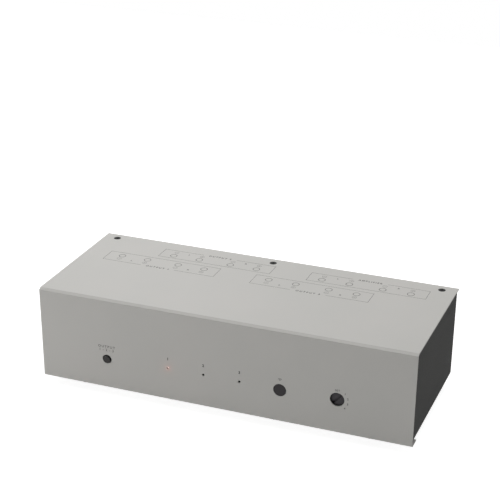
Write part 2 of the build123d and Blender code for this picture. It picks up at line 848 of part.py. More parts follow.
def transformer_coil():
    """Wound coil round the middle limb of the core."""
    limb = core_width / 3
    middle_z = power_top_z + core_height / 2
    height = core_window_height - 2 * coil_gap
    coil = block(around(core_x, limb + 2 * core_window_width - 2 * coil_gap),
                 around(core_y, core_stack + 2 * coil_overhang), around(middle_z, height))
    coil = fillet(coil.edges().filter_by(Axis.Z), coil_overhang * 0.5)
    hollow = block(around(core_x, limb + 2 * coil_gap), around(core_y, core_stack + 2 * coil_gap),
                   around(middle_z, height + 2 * cut_over))
    return coil - hollow


def filter_capacitors():
    """Two upright capacitors on the power board."""
    shapes = []
    for side in (-1, 1):
        x = capacitor_x + side * capacitor_pitch / 2
        can = rod_z(x, capacitor_y, power_top_z, power_top_z + capacitor_height, capacitor_diameter)
        shapes.append(fillet(can.edges().group_by(Axis.Z)[-1], capacitor_rim))
    return group(shapes)


def mains_leads():
    """Terminal block on the power board and three leads from it up to the inlet's tags."""
    block_top = power_top_z + mains_block_height
    shapes = [block(around(inlet_x, mains_block_width), around(mains_block_y, mains_block_depth),
                    (power_top_z, block_top))]
    for x, z in pin_places:
        path = FilletPolyline((x, tag_end_y, z), (x, mains_block_y, z), (x, mains_block_y, block_top),
                              radius=(z - block_top) * mains_wire_bend)
        shapes.append(sweep(Plane((x, tag_end_y, z), z_dir=(0, -1, 0)) * Circle(mains_wire / 2), path=path))
    return shapes


def ribbon(points, x, width, bend):
    """Flat cable along a line of places in Y and Z, centred on the line."""
    line = FilletPolyline(*points, radius=bend)
    strip = trace(line, line_width=ribbon_sheet)
    return along_x(strip, x - width / 2, x + width / 2)


def wiring():
    """Mains leads, and the two ribbon cables with their plugs."""
    shapes = mains_leads()
    plug_x = around(control_ribbon_x, control_ribbon_width + 2 * plug_margin)
    front_plug_y = (control_y + board_sheet, control_y + board_sheet + plug_height)
    rear_plug_y = (terminal_front_y - plug_height, terminal_front_y)
    front_z = around(control_ribbon_top, plug_thickness)
    rear_z = around(control_ribbon_rear_z, plug_thickness)
    shapes.append(block(plug_x, front_plug_y, front_z))
    shapes.append(block(plug_x, rear_plug_y, rear_z))
    climb_y = around((front_plug_y[1] + rear_plug_y[0]) / 2, control_ribbon_climb)
    shapes.append(ribbon(
        [(front_plug_y[1], control_ribbon_top), (climb_y[0], control_ribbon_top),
         (climb_y[1], control_ribbon_rear_z), (rear_plug_y[0], control_ribbon_rear_z)],
        control_ribbon_x, control_ribbon_width, ribbon_bend))
    supply_x = around(supply_ribbon_x, supply_ribbon_width + 2 * plug_margin)
    header_z = (power_top_z, power_top_z + plug_height)
    shapes.append(block(supply_x, around(supply_ribbon_y, plug_thickness), header_z))
    shapes.append(block(supply_x, rear_plug_y, around(lower_row_z, plug_thickness)))
    shapes.append(ribbon(
        [(supply_ribbon_y, header_z[1]), (supply_ribbon_y, lower_row_z), (rear_plug_y[0], lower_row_z)],
        supply_ribbon_x, supply_ribbon_width, ribbon_bend))
    return group(shapes)


nodes = {
    "cover": cover(),
    "chassis": chassis(),
    "rear_panel": rear_panel(),
    "front_bracket": front_bracket(),
    "case_screws": case_screws(),
    "feet": feet(),
    "push_button": push_button(),
    "button_switch": button_switch(),
    "status_lamps": status_lamps(),
    "remote_window": remote_window(),
    "remote_receiver": remote_receiver(),
    "code_dial": code_dial(),
    "dial_switch": dial_switch(),
    "control_board": control_board(),
    "board_spacers": board_spacers(),
    "board_screws": board_screws(),
    "terminal_board": terminal_board(),
    "relays": relays(),
    "power_board": power_board(),
    "transformer_core": transformer_core(),
    "transformer_coil": transformer_coil(),
    "filter_capacitors": filter_capacitors(),
    "mains_inlet": mains_inlet(),
    "inlet_pins": inlet_pins(),
    "terminal_plates": terminal_plates(),
    "post_studs": post_studs(),
    "post_nuts": post_nuts(),
    "wiring": wiring(),
}
for number, (post_x, post_z) in enumerate(post_places, start=1):
    nodes[f"post_sleeve_{number:02d}"] = post_sleeve(post_x, post_z)
    nodes[f"post_cap_{number:02d}"] = post_cap(post_x, post_z)

os.makedirs("parts", exist_ok=True)
for name, shape in nodes.items():
    export_step(shape, f"parts/{name}.step")
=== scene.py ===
# %% [markdown]
# A loudspeaker line selector: a long, low metal box for a hi-fi rack.
# The sheet metal, the screws and everything that moves come ready made in the frame, at their real size.
# This script gives each of them its finish, adds the lamps, the threads of the terminals and the printed
# legends, and lights it all.

# %% Load the frame
import json
import math
import bmesh
import bpy
from mathutils import Matrix, Vector


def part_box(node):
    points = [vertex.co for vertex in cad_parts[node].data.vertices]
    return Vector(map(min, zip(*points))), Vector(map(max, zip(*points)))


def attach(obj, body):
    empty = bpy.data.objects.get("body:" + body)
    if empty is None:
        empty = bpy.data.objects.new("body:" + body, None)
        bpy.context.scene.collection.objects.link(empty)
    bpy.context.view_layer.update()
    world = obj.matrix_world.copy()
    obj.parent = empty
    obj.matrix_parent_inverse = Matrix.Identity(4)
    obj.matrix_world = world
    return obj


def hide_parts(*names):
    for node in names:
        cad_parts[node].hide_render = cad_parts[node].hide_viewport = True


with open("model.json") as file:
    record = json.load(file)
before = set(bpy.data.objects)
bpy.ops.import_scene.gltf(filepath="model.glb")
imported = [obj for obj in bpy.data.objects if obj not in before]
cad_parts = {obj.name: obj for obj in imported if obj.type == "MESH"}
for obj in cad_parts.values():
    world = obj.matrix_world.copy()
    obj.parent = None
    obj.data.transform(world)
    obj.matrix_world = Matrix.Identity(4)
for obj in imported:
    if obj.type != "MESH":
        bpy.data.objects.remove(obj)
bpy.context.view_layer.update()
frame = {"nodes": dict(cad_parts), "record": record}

nodes = frame["nodes"]
case_body = "case"
mm = 0.001

# %% [markdown]
# Every place in this script is measured from the pale cover, because the eye does the same.
# Across means from the middle of the front, and up means above the underside of the cover's lower
# return. What is printed on the top is measured from the top's rear edge.

# %% Measure the cover and the rear panel
cover_low, cover_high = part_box("cover")
front_y = cover_low.y
top_z = cover_high.z
panel_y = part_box("rear_panel")[1].y
print("cover", [round(v / mm, 1) for v in cover_high - cover_low], "mm")

# %% [markdown]
# The camera comes first, so that every later render can be held against the photograph.
# Its place and lens were worked out from the corners of the cover, whose edges run towards three
# vanishing points. The box sits low in the picture, so the lens is shifted upwards. To tilt the camera
# instead would change the lean of the upright edges.

# %% Camera
camera_azimuth = math.radians(20.94)
camera_elevation = math.radians(26.75)
camera_roll = math.radians(0.48)
camera_from_cover = Vector((0.38038, -0.92542, 0.56656))
picture_width = 500
focal_pixels = 1378.0
lens_shift = (-0.0002, 0.1878)

sight = Vector((-math.sin(camera_azimuth) * math.cos(camera_elevation),
                math.cos(camera_azimuth) * math.cos(camera_elevation),
                -math.sin(camera_elevation)))
level = Vector((math.cos(camera_azimuth), math.sin(camera_azimuth), 0))
upward = level.cross(sight)
rolled_level = level * math.cos(camera_roll) + upward * math.sin(camera_roll)
rolled_up = upward * math.cos(camera_roll) - level * math.sin(camera_roll)

lens = bpy.data.cameras.new("camera")
lens.sensor_width = 36
lens.lens = lens.sensor_width * focal_pixels / picture_width
lens.shift_x, lens.shift_y = lens_shift
lens.clip_start = 20 * mm
camera = bpy.data.objects.new("camera", lens)
bpy.context.scene.collection.objects.link(camera)
camera_place = camera_from_cover + Vector((0, cover_low.y, cover_low.z))
camera_turn = Matrix((rolled_level, rolled_up, -sight)).transposed().to_4x4()
camera.matrix_world = Matrix.Translation(camera_place) @ camera_turn
bpy.context.scene.camera = camera
print("camera", round(lens.lens, 1), "mm lens at", [round(v, 3) for v in camera_place])

# %% [markdown]
# Finishes are node trees, and most of them are made from the same few steps: a colour as the eye reads
# it, a noise for grain, that noise spread over a range of roughness, and a bump.
# Writing each step once keeps the trees short and makes each finish read as a recipe.
# Colours come first. Shaders work with linear light, so a colour read off a picture is turned into that
# before it is used.

# %% An empty finish and its colours
def new_finish(name):
    """An empty finish with its shader: returns the material, its tree and the shader."""
    material = bpy.data.materials.new(name)
    material.use_nodes = True
    tree = material.node_tree
    return material, tree, tree.nodes["Principled BSDF"]


def seen(red, green, blue):
    """A colour as a picture shows it, 0 to 255, as the linear colour that shaders work with."""
    def linear(value):
        share = value / 255
        return share / 12.92 if share <= 0.04045 else ((share + 0.055) / 1.055) ** 2.4
    return (linear(red), linear(green), linear(blue), 1)


def scaled(colour, factor):
    """A colour made darker or paler by a factor."""
    return tuple(min(1.0, factor * part) for part in colour[:3]) + (1,)


def between(tree, factor, first, second):
    """A colour between two others."""
    mix = tree.nodes.new("ShaderNodeMix")
    mix.data_type = "RGBA"
    tree.links.new(factor, mix.inputs["Factor"])
    colour_sockets = [socket for socket in mix.inputs if socket.type == "RGBA"]
    for socket, colour in zip(colour_sockets, (first, second)):
        if isinstance(colour, bpy.types.NodeSocket):
            tree.links.new(colour, socket)
        else:
            socket.default_value = colour
    return next(socket for socket in mix.outputs if socket.type == "RGBA")


print("a grey seen as 128 is", round(seen(128, 128, 128)[0], 3), "in linear light")

# %% [markdown]
# Grain, cloudiness and slow drift are the same noise at different sizes. It could follow a UV map, but
# these parts have none and need none: read in metres from the object's own coordinates, a grain of half
# a millimetre is half a millimetre on every part, and it stays put when the part moves.

# %% Grain and ranges
def place(tree, stretch=(1, 1, 1)):
    """Object coordinates in metres, stretched where a pattern runs one way."""
    coordinates = tree.nodes.new("ShaderNodeTexCoord")
    mapping = tree.nodes.new("ShaderNodeMapping")
    mapping.inputs["Scale"].default_value = stretch
    tree.links.new(coordinates.outputs["Object"], mapping.inputs["Vector"])
    return mapping.outputs["Vector"]


def grain(tree, vector, size, detail=2.0):
    """Noise whose features are about size metres across."""
    noise = tree.nodes.new("ShaderNodeTexNoise")
    noise.inputs["Scale"].default_value = 1 / size
    noise.inputs["Detail"].default_value = detail
    tree.links.new(vector, noise.inputs["Vector"])
    return noise.outputs["Fac"]


def spread(tree, value, low, high, source=(0.3, 0.7)):
    """A value stretched from its own range, which for noise is about 0.3 to 0.7, to a new one."""
    stretch = tree.nodes.new("ShaderNodeMapRange")
    stretch.inputs["From Min"].default_value = source[0]
    stretch.inputs["From Max"].default_value = source[1]
    stretch.inputs["To Min"].default_value = low
    stretch.inputs["To Max"].default_value = high
    tree.links.new(value, stretch.inputs["Value"])
    return stretch.outputs["Result"]


print("noise is read per metre: half a millimetre of grain is a scale of", round(1 / (0.5 * mm)))

# %% [markdown]
# No real edge is sharp: paint and moulded plastic round it off. A bevel would do that to a new mesh, but
# the frame's meshes are finished, so the edge is eased in the shading, by a direction that is averaged
# over a small radius. An edge also wears first, and the place where the eased direction leaves the true
# one says where that is.

# %% Edges and relief
bevel_samples = 4
worn_cosine, whole_cosine = 0.65, 0.98


def rounded(tree, radius):
    """The surface's direction with its sharp edges eased over a radius."""
    bevel = tree.nodes.new("ShaderNodeBevel")
    bevel.samples = bevel_samples
    bevel.inputs["Radius"].default_value = radius
    return bevel.outputs["Normal"]


def edges(tree, eased):
    """0 on flat surfaces, rising to 1 on edges, where the eased direction leaves the true one."""
    geometry = tree.nodes.new("ShaderNodeNewGeometry")
    cosine = tree.nodes.new("ShaderNodeVectorMath")
    cosine.operation = "DOT_PRODUCT"
    tree.links.new(eased, cosine.inputs[0])
    tree.links.new(geometry.outputs["Normal"], cosine.inputs[1])
    return spread(tree, cosine.outputs["Value"], 1, 0, (worn_cosine, whole_cosine))


def bump(tree, shader, height, depth, eased=None):
    """Relief of the given depth in metres, on top of an eased direction if there is one."""
    relief = tree.nodes.new("ShaderNodeBump")
    relief.inputs["Distance"].default_value = depth
    tree.links.new(height, relief.inputs["Height"])
    if eased is not None:
        tree.links.new(eased, relief.inputs["Normal"])
    tree.links.new(relief.outputs["Normal"], shader.inputs["Normal"])


print("an edge counts as worn from", round(math.degrees(math.acos(whole_cosine))), "degrees of turn")

# %% [markdown]
# Cover paint. The real cover is sprayed with a warm pale grey that dries to a fine, even, satin grain.
# A plain grey would look like plastic: what tells the eye that it is paint on metal is the grain, about
# half a millimetre across, a slow drift of shade, and edges where the paint is drawn thin. The sheet's
# two ends, which face along X, are made darker. The tray's paint is rougher and hardly shines.

# %% Paint for the cover and the tray
drift_size = 90 * mm
end_facing = (0.9, 0.95)


def cut_ends(tree):
    """1 on the sheet's cut ends, which face along X, and 0 elsewhere."""
    geometry = tree.nodes.new("ShaderNodeNewGeometry")
    parts = tree.nodes.new("ShaderNodeSeparateXYZ")
    size = tree.nodes.new("ShaderNodeMath")
    size.operation = "ABSOLUTE"
    tree.links.new(geometry.outputs["True Normal"], parts.inputs["Vector"])
    tree.links.new(parts.outputs["X"], size.inputs[0])
    return spread(tree, size.outputs[0], 0, 1, end_facing)


def paint(name, shade, drift, gloss, mirror, grain_size, grain_depth, edge_radius, edge_shade,
          edge_amount, end_shade=None):
    """Sprayed paint: a shade that drifts slowly to another, grain, and slightly worn edges.

    gloss is its range of roughness, and mirror its specular level."""
    material, tree, shader = new_finish(name)
    where = place(tree)
    slow = spread(tree, grain(tree, where, drift_size, detail=3), 0, 1)
    body = between(tree, slow, shade, drift)
    # The faces that point along X, the sheet's two ends, are given a darker colour here.
    if end_shade:
        body = between(tree, cut_ends(tree), body, end_shade)
    fine = grain(tree, where, grain_size, detail=3)
    shader.inputs["Specular IOR Level"].default_value = mirror
    eased = rounded(tree, edge_radius)
    worn = spread(tree, edges(tree, eased), 0, edge_amount, (0, 1))
    tree.links.new(between(tree, worn, body, edge_shade), shader.inputs["Base Color"])
    tree.links.new(spread(tree, fine, *gloss), shader.inputs["Roughness"])
    bump(tree, shader, fine, grain_depth, eased)
    return material


cover_paint = paint("cover_paint", shade=seen(190, 188, 184), drift=seen(186, 185, 181), gloss=(0.4, 0.52),
                    mirror=0.5, grain_size=0.55 * mm, grain_depth=0.02 * mm, edge_radius=0.4 * mm,
                    edge_shade=seen(198, 195, 190), edge_amount=0.3, end_shade=seen(92, 90, 86))
tray_paint = paint("tray_paint", shade=seen(64, 64, 63), drift=seen(60, 60, 59), gloss=(0.6, 0.75),
                   mirror=0.03, grain_size=0.9 * mm, grain_depth=0.06 * mm, edge_radius=0.5 * mm,
                   edge_shade=seen(92, 91, 90), edge_amount=0.35)
print("paints", cover_paint.name, tray_paint.name)

# %% [markdown]
# Moulded plastics. They differ in shade and gloss, and share a faint spark-eroded texture from the mould
# and a soft edge. Each could have a tree of its own, but one recipe, with a few numbers for what differs,
# is shorter and keeps them a family.

# %% Plastics
mould_texture_size = 0.6 * mm
plastic_cloud_size = 12 * mm
plastic_cloud_shade = 0.86


def plastic(name, shade, gloss, texture_depth=0.008 * mm, edge_radius=0.3 * mm, mirror=0.5):
    """Moulded plastic: a nearly even shade, a fine mould texture and soft edges."""
    material, tree, shader = new_finish(name)
    where = place(tree)
    fine = grain(tree, where, mould_texture_size, detail=3)
    slow = spread(tree, grain(tree, where, plastic_cloud_size), 0, 1)
    shader.inputs["Specular IOR Level"].default_value = mirror
    cloudy = between(tree, slow, shade, scaled(shade, plastic_cloud_shade))
    tree.links.new(cloudy, shader.inputs["Base Color"])
    tree.links.new(spread(tree, fine, *gloss), shader.inputs["Roughness"])
    bump(tree, shader, fine, texture_depth, rounded(tree, edge_radius))
    return material


button_plastic = plastic("button_plastic", seen(38, 37, 36), (0.32, 0.42), mirror=0.3)
black_plastic = plastic("black_plastic", seen(38, 38, 38), (0.45, 0.6))
dial_plastic = plastic("dial_plastic", seen(47, 44, 48), (0.38, 0.5), mirror=0.3)
inlet_plastic = plastic("inlet_plastic", seen(34, 34, 35), (0.35, 0.5))
plate_plastic = plastic("plate_plastic", seen(36, 36, 37), (0.4, 0.55))
relay_plastic = plastic("relay_plastic", seen(52, 60, 74), (0.25, 0.4))
cap_black = plastic("cap_black", seen(32, 32, 33), (0.22, 0.34), edge_radius=0.4 * mm)
cap_red = plastic("cap_red", seen(168, 24, 22), (0.22, 0.34), edge_radius=0.4 * mm)
foot_rubber = plastic("foot_rubber", seen(38, 38, 37), (0.75, 0.9), 0.03 * mm, 0.6 * mm)
window_plastic = plastic("window_plastic", seen(42, 38, 41), (0.1, 0.16), 0.001 * mm, 0.4 * mm, mirror=0.25)
print("plastics", len([material for material in bpy.data.materials if "plastic" in material.name]))

# %% [markdown]
# Metals. Plated parts are turned or stamped, so their grain runs one way, and the gold plate of the
# terminals is bright with fine lathe rings. The noise is drawn out for this, which costs nothing, where
# modelled rings this fine would be millions of faces. The black screws have a dull coat that hides the
# metal, so the recipe for plastics, with hardly any mirror in it, suits them better.

# %% Metals
metal_grain_size = 0.5 * mm
metal_cloud_size = 6 * mm
metal_cloud_shade = 0.8
metal_grain_depth = 0.004 * mm
metal_edge_radius = 0.2 * mm


def metal(name, shade, gloss, stretch):
    """Plated metal, whose grain is drawn out along each axis where stretch is under 1."""
    material, tree, shader = new_finish(name)
    fine = grain(tree, place(tree, stretch), metal_grain_size, detail=3)
    slow = spread(tree, grain(tree, place(tree), metal_cloud_size), 0, 1)
    cloudy = between(tree, slow, shade, scaled(shade, metal_cloud_shade))
    shader.inputs["Metallic"].default_value = 1.0
    tree.links.new(cloudy, shader.inputs["Base Color"])
    tree.links.new(spread(tree, fine, *gloss), shader.inputs["Roughness"])
    bump(tree, shader, fine, metal_grain_depth, rounded(tree, metal_edge_radius))
    return material


plated_steel = metal("plated_steel", seen(196, 196, 192), (0.25, 0.45), stretch=(1, 1, 0.2))
black_screw = plastic("black_screw", seen(38, 38, 37), (0.5, 0.65), 0.002 * mm, 0.2 * mm, mirror=0.15)
post_brass = metal("post_brass", seen(226, 190, 110), (0.12, 0.25), stretch=(0.15, 3, 0.15))
print("metals", plated_steel.name, post_brass.name, "and the coat", black_screw.name)

# %% [markdown]
# The parts inside only show when the case is opened, but they are part of the model, so each gets what
# makes it recognisable: green mask over copper tracks, stacked steel sheets, wound wire, a shrunk sleeve
# and grey cable. Sheets, turns and wires are all layers that repeat at a pitch, so one banded finish
# serves the three.

# %% Finishes inside the case
wave_rate = 20
band_wobble = 0.4
band_grain_size = 2 * mm
track_length = 11 * mm
track_pitch = 4.2 * mm
track_gap = 0.6 * mm
track_rise = 0.04 * mm
board_grain_size = 4 * mm
board_gloss = (0.22, 0.34)


def banded(name, first, second, direction, pitch, gloss, depth, metallic):
    """Layers or turns: bands that repeat at a pitch along X, Y or Z."""
    material, tree, shader = new_finish(name)
    where = place(tree)
    wave = tree.nodes.new("ShaderNodeTexWave")
    wave.bands_direction = direction
    wave.inputs["Scale"].default_value = 2 * math.pi / (wave_rate * pitch)
    wave.inputs["Distortion"].default_value = band_wobble
    tree.links.new(where, wave.inputs["Vector"])
    rough = grain(tree, where, band_grain_size)
    shader.inputs["Metallic"].default_value = metallic
    tree.links.new(between(tree, wave.outputs["Fac"], first, second), shader.inputs["Base Color"])
    tree.links.new(spread(tree, rough, *gloss), shader.inputs["Roughness"])
    bump(tree, shader, wave.outputs["Fac"], depth)
    return material


def circuit_board(name):
    """Green mask over copper tracks, which show as paler raised lines."""
    material, tree, shader = new_finish(name)
    where = place(tree)
    tracks = tree.nodes.new("ShaderNodeTexBrick")
    tracks.inputs["Scale"].default_value = 1
    tracks.inputs["Brick Width"].default_value = track_length
    tracks.inputs["Row Height"].default_value = track_pitch
    tracks.inputs["Mortar Size"].default_value = track_gap
    tree.links.new(where, tracks.inputs["Vector"])
    mask = between(tree, tracks.outputs["Fac"], seen(22, 78, 44), seen(48, 112, 66))
    tree.links.new(mask, shader.inputs["Base Color"])
    rough = grain(tree, where, board_grain_size)
    tree.links.new(spread(tree, rough, *board_gloss), shader.inputs["Roughness"])
    bump(tree, shader, tracks.outputs["Fac"], track_rise)
    return material


board_green = circuit_board("board_green")
core_steel = banded("core_steel", seen(92, 92, 94), seen(62, 62, 64), "Y", pitch=0.5 * mm,
                    gloss=(0.4, 0.6), depth=0.06 * mm, metallic=0.7)
coil_copper = banded("coil_copper", seen(184, 104, 44), seen(120, 62, 24), "Z", pitch=0.7 * mm,
                     gloss=(0.2, 0.35), depth=0.2 * mm, metallic=0.6)
capacitor_sleeve = plastic("capacitor_sleeve", seen(36, 44, 78), (0.2, 0.3))
wire_grey = banded("wire_grey", seen(158, 158, 160), seen(132, 132, 136), "X", pitch=1.3 * mm,
                   gloss=(0.35, 0.5), depth=0.2 * mm, metallic=0.0)
inside_finishes = (board_green, core_steel, coil_copper, capacitor_sleeve, wire_grey)
print("inside", [material.name for material in inside_finishes])

# %% [markdown]
# Each node of the frame is matched with its finish by the slot that the record gives it. Going through
# the nodes by name would work too, but slots put like parts in one place, and a node that is added to
# the model later finds its finish by itself. The node's own mesh stays as it is.

# %% Give every node its finish
slot_finish = {
    "cover_paint": cover_paint, "tray_paint": tray_paint, "plated_steel": plated_steel,
    "black_screw": black_screw, "foot_rubber": foot_rubber, "button_plastic": button_plastic,
    "black_plastic": black_plastic, "window_plastic": window_plastic, "dial_plastic": dial_plastic,
    "board_green": board_green, "relay_plastic": relay_plastic, "core_steel": core_steel,
    "coil_copper": coil_copper, "capacitor_sleeve": capacitor_sleeve, "inlet_plastic": inlet_plastic,
    "plate_plastic": plate_plastic, "post_brass": post_brass, "cap_red": cap_red,
    "cap_black": cap_black, "wire_grey": wire_grey, "lamp_plastic": window_plastic,
}
for part in frame["record"]["subparts"]:
    node = nodes[part["node"]]
    node.data.materials.clear()
    node.data.materials.append(slot_finish[part["material_slot"]])

# %% [markdown]
# New pieces all end the same way: doubled points are merged and faces turned outwards, the mesh gets its
# finish, and the piece is tied to the body that carries it. Two shapes come up again and again, a block
# and a turned part, so they get a helper each.

# %% How a new piece is finished off
weld_distance = 0.0001 * mm
sharp_angle = math.radians(35)


def make_piece(name, shape, material, body, smooth=True):
    """Turns a bmesh into a piece that rides on a body."""
    bmesh.ops.remove_doubles(shape, verts=shape.verts, dist=weld_distance)
    bmesh.ops.recalc_face_normals(shape, faces=shape.faces)
    mesh = bpy.data.meshes.new(name)
    shape.to_mesh(mesh)
    shape.free()
    mesh.materials.append(material)
    if smooth:
        mesh.shade_smooth()
        mesh.set_sharp_from_angle(angle=sharp_angle)
    piece = bpy.data.objects.new(name, mesh)
    bpy.context.scene.collection.objects.link(piece)
    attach(piece, body)
    print(name, len(mesh.polygons), "faces")
    return piece


def cuboid(shape, middle, size):
    """A rectangular solid of a given size, centred on a place."""
    bmesh.ops.create_cube(shape, size=1, matrix=Matrix.Translation(middle) @ Matrix.Diagonal((*size, 1)))


def spun(shape, profile, middle, steps):
    """Spins a profile of (radius, depth) points about a line along Y through middle."""
    points = [shape.verts.new(middle + Vector((radius, depth, 0))) for radius, depth in profile]
    lines = [shape.edges.new(pair) for pair in zip(points, points[1:])]
    bmesh.ops.spin(shape, geom=points + lines, cent=middle, axis=(0, 1, 0), angle=2 * math.pi,
                   steps=steps, use_merge=True)
    bmesh.ops.remove_doubles(shape, verts=shape.verts, dist=weld_distance)


print("edges stay sharp above", round(math.degrees(sharp_angle)), "degrees")

# %% [markdown]
# The three lamps are small cast resin domes behind holes in the front, and the left one is lit.
# A light inside clear resin would be truer, but behind a hole of two millimetres only an even glow is
# seen, so the resin itself gives the light.

# %% Resin of the lamps
resin_cloud_size = 0.8 * mm
resin_cloud_shade = 0.8
resin_gloss = (0.12, 0.2)


def lamp_resin(name, shade, light, strength, mirror):
    """Diffused resin, which glows where it is lit."""
    material, tree, shader = new_finish(name)
    cloud = grain(tree, place(tree), resin_cloud_size)
    cloudy = between(tree, cloud, shade, scaled(shade, resin_cloud_shade))
    tree.links.new(cloudy, shader.inputs["Base Color"])
    tree.links.new(spread(tree, cloud, *resin_gloss), shader.inputs["Roughness"])
    shader.inputs["Specular IOR Level"].default_value = mirror
    shader.inputs["Emission Color"].default_value = light
    shader.inputs["Emission Strength"].default_value = strength
    return material


lamp_dark = lamp_resin("lamp_dark", seen(16, 8, 7), seen(0, 0, 0), strength=0.0, mirror=0.15)
lamp_glow = lamp_resin("lamp_glow", seen(190, 173, 167), seen(255, 240, 234), strength=0.58, mirror=0.3)
print("resins", lamp_dark.name, lamp_glow.name)

# %% [markdown]
# A lamp is a turned shape, so its dome is a quarter circle spun about its axis, with a rim at its foot.
# Behind the rim come its two leads. The frame holds plain lamps in the same places, which these replace,
# so their middles and their rims are read from there.

# %% Lamps
lamps_low, lamps_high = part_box("status_lamps")
lamp_rim_radius = (lamps_high.z - lamps_low.z) / 2
lamp_radius = 1.5 * mm
lamp_rim_height = 1.0 * mm
lamp_length = 5.3 * mm
lamp_steps = 32
dome_angles = [math.radians(angle) for angle in range(0, 91, 10)]
lead_width = 0.5 * mm
lead_pitch = 1.8 * mm
lamp_z = (lamps_low.z + lamps_high.z) / 2
lamps_middle_x = (lamps_low.x + lamps_high.x) / 2
lamp_xs = (lamps_low.x + lamp_rim_radius, lamps_middle_x, lamps_high.x - lamp_rim_radius)


def lamp_shape(x):
    """Dome, rim and leads of one lamp."""
    shape = bmesh.new()
    nose = Vector((x, lamps_low.y, lamp_z))
    profile = [(lamp_radius * math.sin(a), lamp_radius * (1 - math.cos(a))) for a in dome_angles]
    rim_start = lamp_length - lamp_rim_height
    profile += [(lamp_radius, rim_start), (lamp_rim_radius, rim_start)]
    profile += [(lamp_rim_radius, lamp_length), (0, lamp_length)]
    spun(shape, profile, nose, lamp_steps)
    lead_start = nose.y + lamp_length
    for side in (-1, 1):
        lead_middle = (x + side * lead_pitch / 2, (lead_start + lamps_high.y) / 2, lamp_z)
        cuboid(shape, lead_middle, (lead_width, lamps_high.y - lead_start, lead_width))
    return shape


for number, x in enumerate(lamp_xs, start=1):
    resin = lamp_glow if number == 1 else lamp_dark
    lamp = make_piece(f"lamp_{number}", lamp_shape(x), resin, case_body)
    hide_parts("status_lamps")

# %% [markdown]
# The terminal studs show when a cap is backed off, so they get a real thread rather than a painted one.
# A thread is a helix, but on a stud this small its ridges read the same when they are rings, and a ring
# can simply be spun with the rest of the profile.

# %% Profile of a threaded stud
studs_low, studs_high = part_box("post_studs")
board_rear_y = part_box("terminal_board")[1].y
plates_rear_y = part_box("terminal_plates")[1].y
stud_radius = 3.0 * mm
stud_tail_radius = 1.5 * mm
thread_pitch = 1.0 * mm
thread_depth = 0.3 * mm
stud_point = 0.6 * mm
stud_steps = 28
wire_hole_radius = 1.5 * mm
wire_hole_steps = 20


def stud_profile():
    """Radius and depth of a stud from its tail to its tip, with a ridge at each pitch."""
    thread_start = board_rear_y - studs_low.y
    thread_end = studs_high.y - studs_low.y - stud_point
    points = [(0, 0), (stud_tail_radius, 0), (stud_tail_radius, thread_start), (stud_radius, thread_start)]
    depth = plates_rear_y - studs_low.y
    points.append((stud_radius, depth - thread_pitch))
    while depth + thread_pitch < thread_end:
        points += [(stud_radius, depth), (stud_radius - thread_depth, depth + thread_pitch / 2)]
        depth += thread_pitch
    tip = thread_end + stud_point
    points += [(stud_radius, depth), (stud_radius, thread_end), (stud_radius - stud_point, tip)]
    return points + [(0, tip)]


print("a stud's profile has", len(stud_profile()), "points")

# %% [markdown]
# A bare wire goes through a cross hole in the stud. The hole could be left out of the spun mesh by hand,
# but it runs across many ridges, and a boolean cuts them all cleanly. One stud is cut, and then copied
# to the middle of each cap.

# %% Threaded studs
def final_mesh(carrier):
    """The mesh that an object ends up with, after its modifiers or its extrusion."""
    bpy.context.view_layer.update()
    return bpy.data.meshes.new_from_object(carrier.evaluated_get(bpy.context.evaluated_depsgraph_get()))


def cut_stud():
    """Mesh of one stud at the middle of the case, with its cross hole cut."""
    body = bmesh.new()
    spun(body, stud_profile(), Vector((0, studs_low.y, 0)), stud_steps)
    bmesh.ops.recalc_face_normals(body, faces=body.faces)
    tool = bmesh.new()
    hole_middle = Matrix.Translation((0, plates_rear_y + wire_hole_radius, 0))
    bmesh.ops.create_cone(tool, cap_ends=True, segments=wire_hole_steps, radius1=wire_hole_radius,
                          radius2=wire_hole_radius, depth=4 * stud_radius, matrix=hole_middle)
    carriers = []
    for name, shape in (("stud", body), ("hole", tool)):
        mesh = bpy.data.meshes.new(name)
        shape.to_mesh(mesh)
        shape.free()
        carriers.append(bpy.data.objects.new(name, mesh))
        bpy.context.scene.collection.objects.link(carriers[-1])
    cut = carriers[0].modifiers.new("wire_hole", "BOOLEAN")
    cut.operation = "DIFFERENCE"
    cut.object = carriers[1]
    result = final_mesh(carriers[0])
    for carrier in carriers:
        bpy.data.objects.remove(carrier)
    return result


one_stud = cut_stud()
all_studs = bmesh.new()
cap_boxes = [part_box(f"post_cap_{number:02d}") for number in range(1, 17)]
for low, high in cap_boxes:
    placed = one_stud.copy()
    placed.transform(Matrix.Translation(((low.x + high.x) / 2, 0, (low.z + high.z) / 2)))
    all_studs.from_mesh(placed)
    bpy.data.meshes.remove(placed)
studs = make_piece("threaded_studs", all_studs, post_brass, case_body)
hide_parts("post_studs")

# %% [markdown]
# Legends are screen printed: a layer of ink a few hundredths of a millimetre thick, with crisp edges.
# Lines could be drawn in the paint's node tree, but letters can't, and one way for all is simpler. So
# all the print is thin solids of ink, which show from any side.

# %% Ink
ink_rise = 0.03 * mm
ink_sink = 0.01 * mm
ink_cloud_size = 0.4 * mm
ink_cloud_shade = 1.25
ink_gloss = (0.45, 0.6)


def ink(name, shade):
    """Screen ink: flat, a little uneven in density."""
    material, tree, shader = new_finish(name)
    density = spread(tree, grain(tree, place(tree), ink_cloud_size), 0, 1)
    uneven = between(tree, density, shade, scaled(shade, ink_cloud_shade))
    tree.links.new(uneven, shader.inputs["Base Color"])
    tree.links.new(spread(tree, density, *ink_gloss, (0, 1)), shader.inputs["Roughness"])
    return material


dark_ink = ink("dark_ink", seen(72, 71, 68))
pale_ink = ink("pale_ink", seen(190, 190, 186))
print("ink stands", round(ink_rise / mm, 3), "mm proud of the paint")

